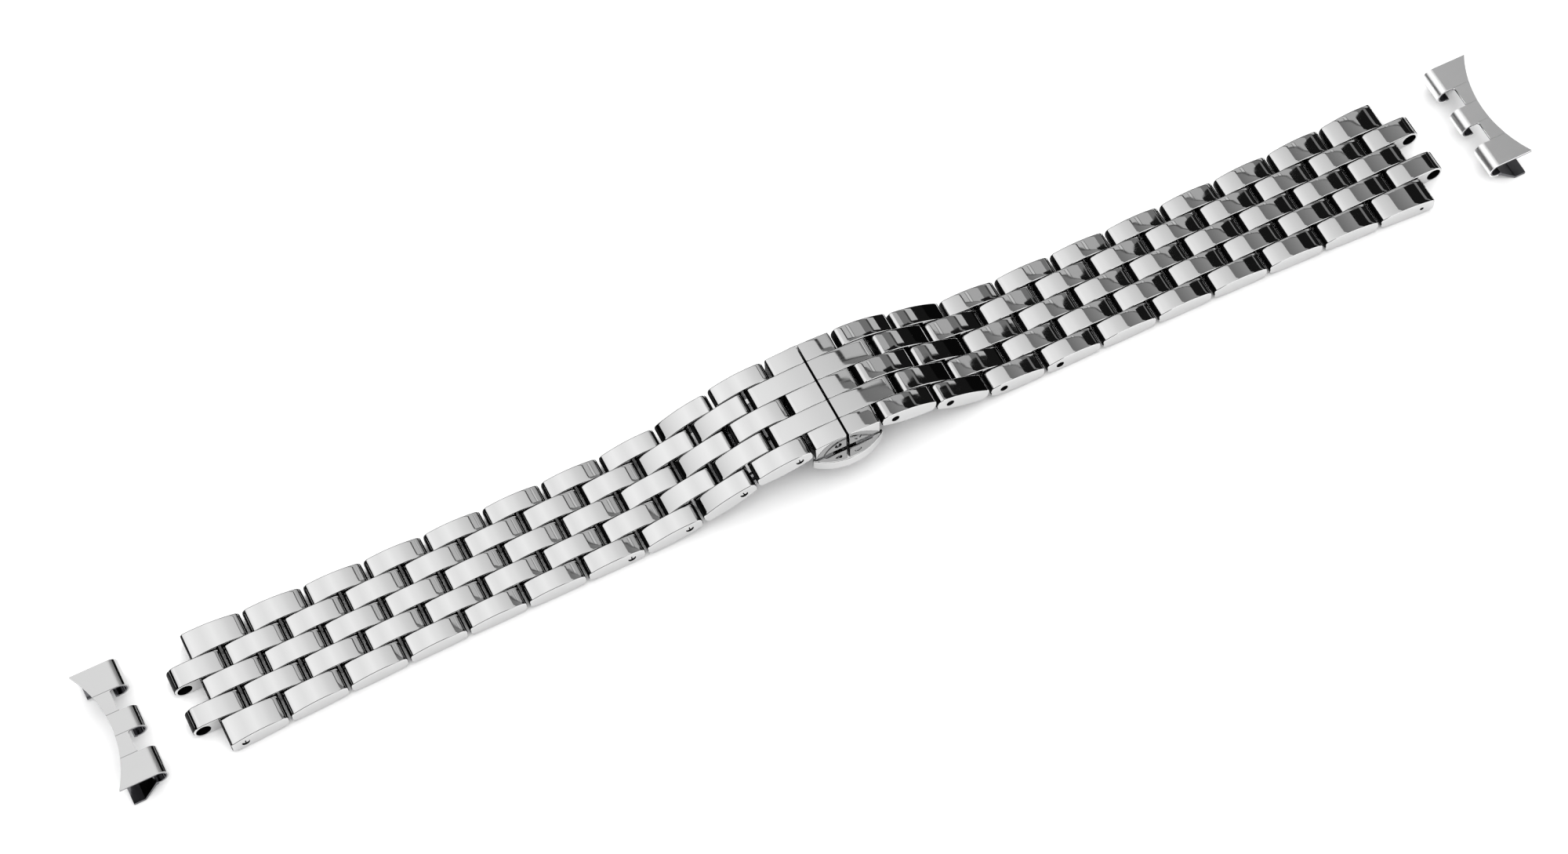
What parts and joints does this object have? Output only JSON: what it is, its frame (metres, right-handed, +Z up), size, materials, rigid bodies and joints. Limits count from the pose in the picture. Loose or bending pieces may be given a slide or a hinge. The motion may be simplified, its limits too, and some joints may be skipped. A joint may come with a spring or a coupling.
{
  "type": "watch bracelet",
  "caption": "Flat-laid link watch bracelet with a folding push-button clasp and loose curved end pieces.",
  "frame": {"origin": "centre of the footprint on the table, under the seam of the clasp", "axes": "+X along the bracelet to the right half, +Y across it away from the viewer, +Z up"},
  "size_m": [0.2104, 0.0196, 0.0084],
  "materials": {
    "polished_steel": "mirror polished",
    "polished_sheet": "polished",
    "satin_steel": "satin",
    "button_steel": "polished with a matt hollow",
    "pin_steel": "bright drawn"
  },
  "bodies": {
    "clasp_plate": {"centre_plate": "satin_steel", "latch_housing": "satin_steel", "hinge_pin_left": "pin_steel", "hinge_pin_right": "pin_steel", "button_spring_near": "pin_steel", "button_spring_far": "pin_steel"},
    "blade_left": {"blade_left": "satin_steel"},
    "clasp_block_left": {"clasp_block_left": "polished_steel", "block_pin_left": "pin_steel"},
    "left_outer_row_01": {"left_outer_links_01": "polished_steel"},
    "left_inner_row_01": {"left_inner_links_01": "polished_steel"},
    "left_outer_row_02": {"left_outer_links_02": "polished_steel"},
    "left_inner_row_02": {"left_inner_links_02": "polished_steel"},
    "left_outer_row_03": {"left_outer_links_03": "polished_steel"},
    "left_inner_row_03": {"left_inner_links_03": "polished_steel"},
    "left_outer_row_04": {"left_outer_links_04": "polished_steel"},
    "left_inner_row_04": {"left_inner_links_04": "polished_steel"},
    "left_outer_row_05": {"left_outer_links_05": "polished_steel"},
    "left_inner_row_05": {"left_inner_links_05": "polished_steel"},
    "left_outer_row_06": {"left_outer_links_06": "polished_steel"},
    "left_inner_row_06": {"left_inner_links_06": "polished_steel"},
    "left_outer_row_07": {"left_outer_links_07": "polished_steel"},
    "left_inner_row_07": {"left_inner_links_07": "polished_steel"},
    "left_outer_row_08": {"left_outer_links_08": "polished_steel"},
    "left_inner_row_08": {"left_inner_links_08": "polished_steel"},
    "left_outer_row_09": {"left_outer_links_09": "polished_steel"},
    "left_inner_row_09": {"left_inner_links_09": "polished_steel"},
    "left_outer_row_10": {"left_outer_links_10": "polished_steel"},
    "left_inner_row_10": {"left_inner_links_10": "polished_steel"},
    "end_piece_left": {"end_piece_left": "polished_sheet"},
    "blade_right": {"blade_right": "satin_steel"},
    "clasp_block_right": {"clasp_block_right": "polished_steel", "block_pin_right": "pin_steel"},
    "right_outer_row_01": {"right_outer_links_01": "polished_steel"},
    "right_inner_row_01": {"right_inner_links_01": "polished_steel"},
    "right_outer_row_02": {"right_outer_links_02": "polished_steel"},
    "right_inner_row_02": {"right_inner_links_02": "polished_steel"},
    "right_outer_row_03": {"right_outer_links_03": "polished_steel"},
    "right_inner_row_03": {"right_inner_links_03": "polished_steel"},
    "right_outer_row_04": {"right_outer_links_04": "polished_steel"},
    "right_inner_row_04": {"right_inner_links_04": "polished_steel"},
    "right_outer_row_05": {"right_outer_links_05": "polished_steel"},
    "right_inner_row_05": {"right_inner_links_05": "polished_steel"},
    "right_outer_row_06": {"right_outer_links_06": "polished_steel"},
    "right_inner_row_06": {"right_inner_links_06": "polished_steel"},
    "right_outer_row_07": {"right_outer_links_07": "polished_steel"},
    "right_inner_row_07": {"right_inner_links_07": "polished_steel"},
    "right_outer_row_08": {"right_outer_links_08": "polished_steel"},
    "right_inner_row_08": {"right_inner_links_08": "polished_steel"},
    "right_outer_row_09": {"right_outer_links_09": "polished_steel"},
    "right_inner_row_09": {"right_inner_links_09": "polished_steel"},
    "right_outer_row_10": {"right_outer_links_10": "polished_steel"},
    "right_inner_row_10": {"right_inner_links_10": "polished_steel"},
    "end_piece_right": {"end_piece_right": "polished_sheet"},
    "push_button_near": {"push_button_near": "button_steel"},
    "push_button_far": {"push_button_far": "button_steel"}
  },
  "joints": [
    {"name": "blade_left_swing", "type": "hinge", "parent": "clasp_plate", "child": "blade_left", "pos_m": [-0.01497, 0, 0.00105], "axis": [0, -1, 0], "range_deg": [0, 120]},
    {"name": "clasp_block_left_turn", "type": "hinge", "parent": "blade_left", "child": "clasp_block_left", "pos_m": [-0.00142, 0, 0.0067], "axis": [0, 1, 0], "range_deg": [0, 5]},
    {"name": "left_outer_row_01_bend", "type": "hinge", "parent": "clasp_block_left", "child": "left_outer_row_01", "pos_m": [-0.00707, 0, 0.007], "axis": [0, 1, 0], "range_deg": [-4, 18]},
    {"name": "left_inner_row_01_bend", "type": "hinge", "parent": "left_outer_row_01", "child": "left_inner_row_01", "pos_m": [-0.01132, 0, 0.0064], "axis": [0, 1, 0], "range_deg": [-1, 21]},
    {"name": "left_outer_row_02_bend", "type": "hinge", "parent": "left_inner_row_01", "child": "left_outer_row_02", "pos_m": [-0.01539, 0, 0.005], "axis": [0, 1, 0], "range_deg": [-11, 11]},
    {"name": "left_inner_row_02_bend", "type": "hinge", "parent": "left_outer_row_02", "child": "left_inner_row_02", "pos_m": [-0.01943, 0, 0.00353], "axis": [0, 1, 0], "range_deg": [-15.4, 6.6]},
    {"name": "left_outer_row_03_bend", "type": "hinge", "parent": "left_inner_row_02", "child": "left_outer_row_03", "pos_m": [-0.02355, 0, 0.0023], "axis": [0, 1, 0], "range_deg": [-19.6, 2.4]},
    {"name": "left_inner_row_03_bend", "type": "hinge", "parent": "left_outer_row_03", "child": "left_inner_row_03", "pos_m": [-0.0278, 0, 0.00162], "axis": [0, 1, 0], "range_deg": [-18, 4]},
    {"name": "left_outer_row_04_bend", "type": "hinge", "parent": "left_inner_row_03", "child": "left_outer_row_04", "pos_m": [-0.03209, 0, 0.0014], "axis": [0, 1, 0], "range_deg": [-15, 3]},
    {"name": "left_inner_row_04_bend", "type": "hinge", "parent": "left_outer_row_04", "child": "left_inner_row_04", "pos_m": [-0.03639, 0, 0.0014], "axis": [0, 1, 0], "range_deg": [-12, 6]},
    {"name": "left_outer_row_05_bend", "type": "hinge", "parent": "left_inner_row_04", "child": "left_outer_row_05", "pos_m": [-0.04069, 0, 0.0014], "axis": [0, 1, 0], "range_deg": [-12, 6]},
    {"name": "left_inner_row_05_bend", "type": "hinge", "parent": "left_outer_row_05", "child": "left_inner_row_05", "pos_m": [-0.04499, 0, 0.0014], "axis": [0, 1, 0], "range_deg": [-12, 6]},
    {"name": "left_outer_row_06_bend", "type": "hinge", "parent": "left_inner_row_05", "child": "left_outer_row_06", "pos_m": [-0.04929, 0, 0.0014], "axis": [0, 1, 0], "range_deg": [-12, 6]},
    {"name": "left_inner_row_06_bend", "type": "hinge", "parent": "left_outer_row_06", "child": "left_inner_row_06", "pos_m": [-0.05359, 0, 0.0014], "axis": [0, 1, 0], "range_deg": [-12, 6]},
    {"name": "left_outer_row_07_bend", "type": "hinge", "parent": "left_inner_row_06", "child": "left_outer_row_07", "pos_m": [-0.05789, 0, 0.0014], "axis": [0, 1, 0], "range_deg": [-12, 6]},
    {"name": "left_inner_row_07_bend", "type": "hinge", "parent": "left_outer_row_07", "child": "left_inner_row_07", "pos_m": [-0.06219, 0, 0.0014], "axis": [0, 1, 0], "range_deg": [-12, 6]},
    {"name": "left_outer_row_08_bend", "type": "hinge", "parent": "left_inner_row_07", "child": "left_outer_row_08", "pos_m": [-0.06649, 0, 0.0014], "axis": [0, 1, 0], "range_deg": [-12, 6]},
    {"name": "left_inner_row_08_bend", "type": "hinge", "parent": "left_outer_row_08", "child": "left_inner_row_08", "pos_m": [-0.07079, 0, 0.0014], "axis": [0, 1, 0], "range_deg": [-12, 6]},
    {"name": "left_outer_row_09_bend", "type": "hinge", "parent": "left_inner_row_08", "child": "left_outer_row_09", "pos_m": [-0.07509, 0, 0.0014], "axis": [0, 1, 0], "range_deg": [-12, 6]},
    {"name": "left_inner_row_09_bend", "type": "hinge", "parent": "left_outer_row_09", "child": "left_inner_row_09", "pos_m": [-0.07939, 0, 0.0014], "axis": [0, 1, 0], "range_deg": [-12, 6]},
    {"name": "left_outer_row_10_bend", "type": "hinge", "parent": "left_inner_row_09", "child": "left_outer_row_10", "pos_m": [-0.08369, 0, 0.0014], "axis": [0, 1, 0], "range_deg": [-12, 6]},
    {"name": "left_inner_row_10_bend", "type": "hinge", "parent": "left_outer_row_10", "child": "left_inner_row_10", "pos_m": [-0.08799, 0, 0.0014], "axis": [0, 1, 0], "range_deg": [-12, 6]},
    {"name": "end_piece_left_fit", "type": "slide", "parent": "left_inner_row_10", "child": "end_piece_left", "axis": [0.986, 0, -0.1665], "range_m": [0, 0.0078]},
    {"name": "blade_right_swing", "type": "hinge", "parent": "clasp_plate", "child": "blade_right", "pos_m": [0.01503, 0, 0.00105], "axis": [0, -1, 0], "range_deg": [-120, 0]},
    {"name": "clasp_block_right_turn", "type": "hinge", "parent": "blade_right", "child": "clasp_block_right", "pos_m": [0.00148, 0, 0.0067], "axis": [0, 1, 0], "range_deg": [-5, 0]},
    {"name": "right_outer_row_01_bend", "type": "hinge", "parent": "clasp_block_right", "child": "right_outer_row_01", "pos_m": [0.00713, 0, 0.007], "axis": [0, 1, 0], "range_deg": [-23, 1]},
    {"name": "right_inner_row_01_bend", "type": "hinge", "parent": "right_outer_row_01", "child": "right_inner_row_01", "pos_m": [0.01132, 0, 0.00603], "axis": [0, 1, 0], "range_deg": [-18, 4]},
    {"name": "right_outer_row_02_bend", "type": "hinge", "parent": "right_inner_row_01", "child": "right_outer_row_02", "pos_m": [0.01534, 0, 0.00449], "axis": [0, 1, 0], "range_deg": [-11, 11]},
    {"name": "right_inner_row_02_bend", "type": "hinge", "parent": "right_outer_row_02", "child": "right_inner_row_02", "pos_m": [0.01933, 0, 0.00288], "axis": [0, 1, 0], "range_deg": [-1.3, 20.7]},
    {"name": "right_outer_row_03_bend", "type": "hinge", "parent": "right_inner_row_02", "child": "right_outer_row_03", "pos_m": [0.02351, 0, 0.00189], "axis": [0, 1, 0], "range_deg": [-1.7, 20.3]},
    {"name": "right_inner_row_03_bend", "type": "hinge", "parent": "right_outer_row_03", "child": "right_inner_row_03", "pos_m": [0.02779, 0, 0.00151], "axis": [0, 1, 0], "range_deg": [-6.49, 15.51]},
    {"name": "right_outer_row_04_bend", "type": "hinge", "parent": "right_inner_row_03", "child": "right_outer_row_04", "pos_m": [0.03209, 0, 0.0014], "axis": [0, 1, 0], "range_deg": [-4.51, 13.49]},
    {"name": "right_inner_row_04_bend", "type": "hinge", "parent": "right_outer_row_04", "child": "right_inner_row_04", "pos_m": [0.03639, 0, 0.0014], "axis": [0, 1, 0], "range_deg": [-6, 12]},
    {"name": "right_outer_row_05_bend", "type": "hinge", "parent": "right_inner_row_04", "child": "right_outer_row_05", "pos_m": [0.04069, 0, 0.0014], "axis": [0, 1, 0], "range_deg": [-6, 12]},
    {"name": "right_inner_row_05_bend", "type": "hinge", "parent": "right_outer_row_05", "child": "right_inner_row_05", "pos_m": [0.04499, 0, 0.0014], "axis": [0, 1, 0], "range_deg": [-6, 12]},
    {"name": "right_outer_row_06_bend", "type": "hinge", "parent": "right_inner_row_05", "child": "right_outer_row_06", "pos_m": [0.04929, 0, 0.0014], "axis": [0, 1, 0], "range_deg": [-6, 12]},
    {"name": "right_inner_row_06_bend", "type": "hinge", "parent": "right_outer_row_06", "child": "right_inner_row_06", "pos_m": [0.05359, 0, 0.0014], "axis": [0, 1, 0], "range_deg": [-6, 12]},
    {"name": "right_outer_row_07_bend", "type": "hinge", "parent": "right_inner_row_06", "child": "right_outer_row_07", "pos_m": [0.05789, 0, 0.0014], "axis": [0, 1, 0], "range_deg": [-6, 12]},
    {"name": "right_inner_row_07_bend", "type": "hinge", "parent": "right_outer_row_07", "child": "right_inner_row_07", "pos_m": [0.06219, 0, 0.0014], "axis": [0, 1, 0], "range_deg": [-6, 12]},
    {"name": "right_outer_row_08_bend", "type": "hinge", "parent": "right_inner_row_07", "child": "right_outer_row_08", "pos_m": [0.06649, 0, 0.0014], "axis": [0, 1, 0], "range_deg": [-6, 12]},
    {"name": "right_inner_row_08_bend", "type": "hinge", "parent": "right_outer_row_08", "child": "right_inner_row_08", "pos_m": [0.07079, 0, 0.0014], "axis": [0, 1, 0], "range_deg": [-6, 12]},
    {"name": "right_outer_row_09_bend", "type": "hinge", "parent": "right_inner_row_08", "child": "right_outer_row_09", "pos_m": [0.07509, 0, 0.0014], "axis": [0, 1, 0], "range_deg": [-6, 12]},
    {"name": "right_inner_row_09_bend", "type": "hinge", "parent": "right_outer_row_09", "child": "right_inner_row_09", "pos_m": [0.07939, 0, 0.0014], "axis": [0, 1, 0], "range_deg": [-6, 12]},
    {"name": "right_outer_row_10_bend", "type": "hinge", "parent": "right_inner_row_09", "child": "right_outer_row_10", "pos_m": [0.08369, 0, 0.0014], "axis": [0, 1, 0], "range_deg": [-6, 12]},
    {"name": "right_inner_row_10_bend", "type": "hinge", "parent": "right_outer_row_10", "child": "right_inner_row_10", "pos_m": [0.08799, 0, 0.0014], "axis": [0, 1, 0], "range_deg": [-6, 12]},
    {"name": "end_piece_right_fit", "type": "slide", "parent": "right_inner_row_10", "child": "end_piece_right", "axis": [-0.986, 0, -0.1665], "range_m": [0, 0.0078]},
    {"name": "push_button_near_press", "type": "slide", "parent": "clasp_plate", "child": "push_button_near", "axis": [0, 1, 0], "range_m": [0, 0.0006], "stiffness_N_per_m": 500, "springref_m": -0.001, "deforming": ["button_spring_near"]},
    {"name": "push_button_far_press", "type": "slide", "parent": "clasp_plate", "child": "push_button_far", "axis": [0, -1, 0], "range_m": [0, 0.0006], "stiffness_N_per_m": 500, "springref_m": -0.001, "deforming": ["button_spring_far"]}
  ]
}
